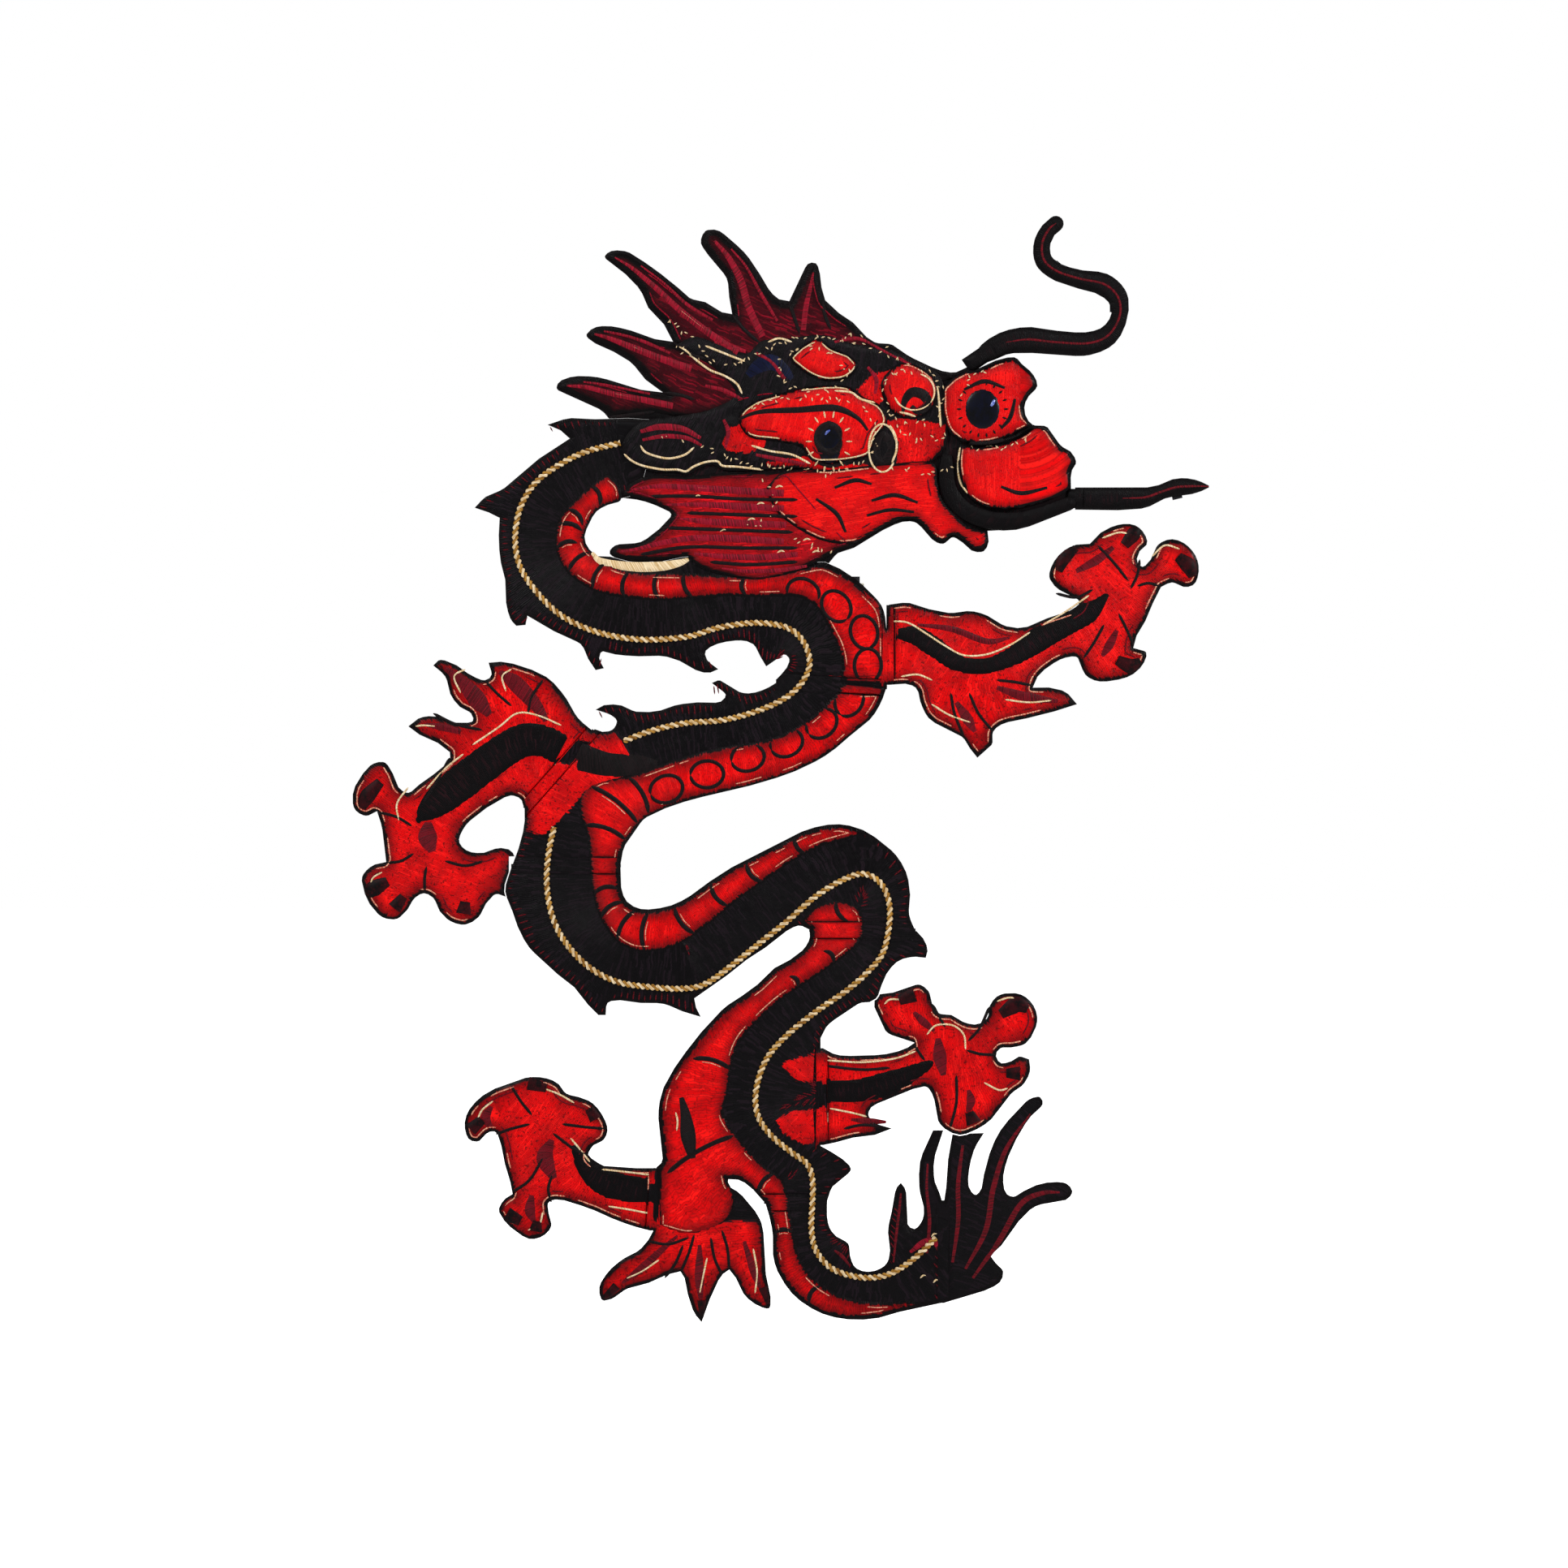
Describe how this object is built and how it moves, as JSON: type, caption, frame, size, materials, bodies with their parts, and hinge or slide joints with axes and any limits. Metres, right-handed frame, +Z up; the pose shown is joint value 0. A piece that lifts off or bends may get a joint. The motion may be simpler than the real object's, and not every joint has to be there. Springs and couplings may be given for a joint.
{
  "type": "dragon kite",
  "caption": "Flat figure kite in the shape of an S-bent dragon: padded satin panels hinged at cloth seams, stiffened behind by rods in a moulded hub with a tow ring.",
  "frame": {"origin": "the hub's centre in the plane of the sail's painted face, where the rods meet and the bridle gathers", "axes": "+Z up towards the head, +X towards the snout, -Y the way the painted face looks; the rods are on the +Y side"},
  "size_m": [0.9282, 0.0192, 1.1995],
  "materials": {
    "sail_black": "black ripstop sail cloth with a satin face",
    "satin_red": "scarlet satin, embroidered and padded",
    "satin_wine": "dark wine-red satin with stitched streaks",
    "satin_black": "black satin stitch",
    "gold_braid": "twisted gold and cream cord, couched down",
    "eye_black": "glossy black dome",
    "glassfibre": "drawn glass-fibre rod",
    "moulded_black": "moulded black nylon",
    "ring_steel": "steel wire, bright"
  },
  "bodies": {
    "fore": {"sail_neck": "sail_black", "sail_head": "sail_black", "belly_neck": "satin_red", "braid_neck": "gold_braid", "mane": "satin_wine", "face_ground": "satin_black", "beard": "satin_wine", "jaw": "satin_red", "mouth": "satin_black", "face_patch": "satin_red", "crest_patch": "satin_red", "brow_patch": "satin_red", "snout": "satin_red", "lip": "satin_red", "pupil": "eye_black", "nostril": "eye_black", "hub": "moulded_black", "spar_left": "glassfibre", "spar_right": "glassfibre", "spine_rod": "glassfibre", "snout_rod": "glassfibre"},
    "waist": {"sail_waist": "sail_black", "belly_waist": "satin_red", "braid_waist": "gold_braid", "rod_waist": "glassfibre"},
    "belly": {"sail_belly": "sail_black", "belly_lower": "satin_red", "belly_bend": "satin_red", "braid_belly": "gold_braid", "rod_belly": "glassfibre"},
    "back": {"sail_back": "sail_black", "belly_back": "satin_red", "braid_back": "gold_braid", "rod_back": "glassfibre"},
    "tail": {"sail_tail": "sail_black", "belly_tail": "satin_red", "braid_tail": "gold_braid", "rod_tail": "glassfibre"},
    "fan": {"sail_fan": "sail_black", "rod_fan": "glassfibre"},
    "leg_front_right": {"panel_front_right": "satin_red", "stripe_front_right": "satin_black", "rod_front_right": "glassfibre"},
    "leg_front_left": {"panel_front_left": "satin_red", "stripe_front_left": "satin_black", "rod_front_left": "glassfibre"},
    "leg_rear_right": {"panel_rear_right": "satin_red", "stripe_rear_right": "satin_black", "rod_rear_right": "glassfibre"},
    "leg_rear_left": {"panel_rear_left": "satin_red", "stripe_rear_left": "satin_black", "rod_rear_left": "glassfibre"},
    "whisker_upper": {"whisker_upper": "satin_black", "wire_upper": "ring_steel"},
    "whisker_lower": {"whisker_lower": "satin_black", "wire_lower": "ring_steel"},
    "ring": {"tow_ring": "ring_steel"}
  },
  "joints": [
    {"name": "waist_seam", "type": "hinge", "parent": "fore", "child": "waist", "pos_m": [0.057, 0.0005, -0.1085], "axis": [0.9983, 0, -0.0585], "range_deg": [-25, 25]},
    {"name": "belly_seam", "type": "hinge", "parent": "waist", "child": "belly", "pos_m": [-0.231, 0.0005, -0.305], "axis": [1, 0, 0], "range_deg": [-25, 25]},
    {"name": "back_seam", "type": "hinge", "parent": "belly", "child": "back", "pos_m": [0.09, 0.0005, -0.375], "axis": [1, 0, 0], "range_deg": [-25, 25]},
    {"name": "tail_seam", "type": "hinge", "parent": "back", "child": "tail", "pos_m": [0.013, 0.0005, -0.67], "axis": [1, 0, 0], "range_deg": [-20, 20]},
    {"name": "fan_seam", "type": "hinge", "parent": "tail", "child": "fan", "pos_m": [0.17775, 0.0005, -0.724], "axis": [0, 0, 1], "range_deg": [-20, 20], "stiffness_Nm_per_rad": 0.05},
    {"name": "front_right_seam", "type": "hinge", "parent": "fore", "child": "leg_front_right", "pos_m": [0.1181, 0.0005, -0.066], "axis": [0, 0, 1], "range_deg": [-25, 25], "stiffness_Nm_per_rad": 0.08},
    {"name": "front_left_seam", "type": "hinge", "parent": "waist", "child": "leg_front_left", "pos_m": [-0.2385, 0.0005, -0.2005], "axis": [-0.6629, 0, -0.7487], "range_deg": [-20, 20], "stiffness_Nm_per_rad": 0.1},
    {"name": "rear_right_seam", "type": "hinge", "parent": "back", "child": "leg_rear_right", "pos_m": [0.0463, 0.0005, -0.556], "axis": [0, 0, 1], "range_deg": [-20, 20], "stiffness_Nm_per_rad": 0.08},
    {"name": "rear_left_seam", "type": "hinge", "parent": "back", "child": "leg_rear_left", "pos_m": [-0.1355, 0.0005, -0.667], "axis": [0.0441, 0, 0.999], "range_deg": [-20, 20], "stiffness_Nm_per_rad": 0.06},
    {"name": "upper_whisker_root", "type": "hinge", "parent": "fore", "child": "whisker_upper", "pos_m": [0.214, 0.0005, 0.243], "axis": [-0.5708, 0, 0.8211], "range_deg": [-20, 20], "stiffness_Nm_per_rad": 0.03},
    {"name": "lower_whisker_root", "type": "hinge", "parent": "fore", "child": "whisker_lower", "pos_m": [0.319, 0.0005, 0.093], "axis": [0, 0, 1], "range_deg": [-25, 25], "stiffness_Nm_per_rad": 0.02},
    {"name": "tow_ring_swing", "type": "hinge", "parent": "fore", "child": "ring", "pos_m": [0, 0.0048, -0.023], "axis": [1, 0, 0], "range_deg": [0, 75]}
  ]
}
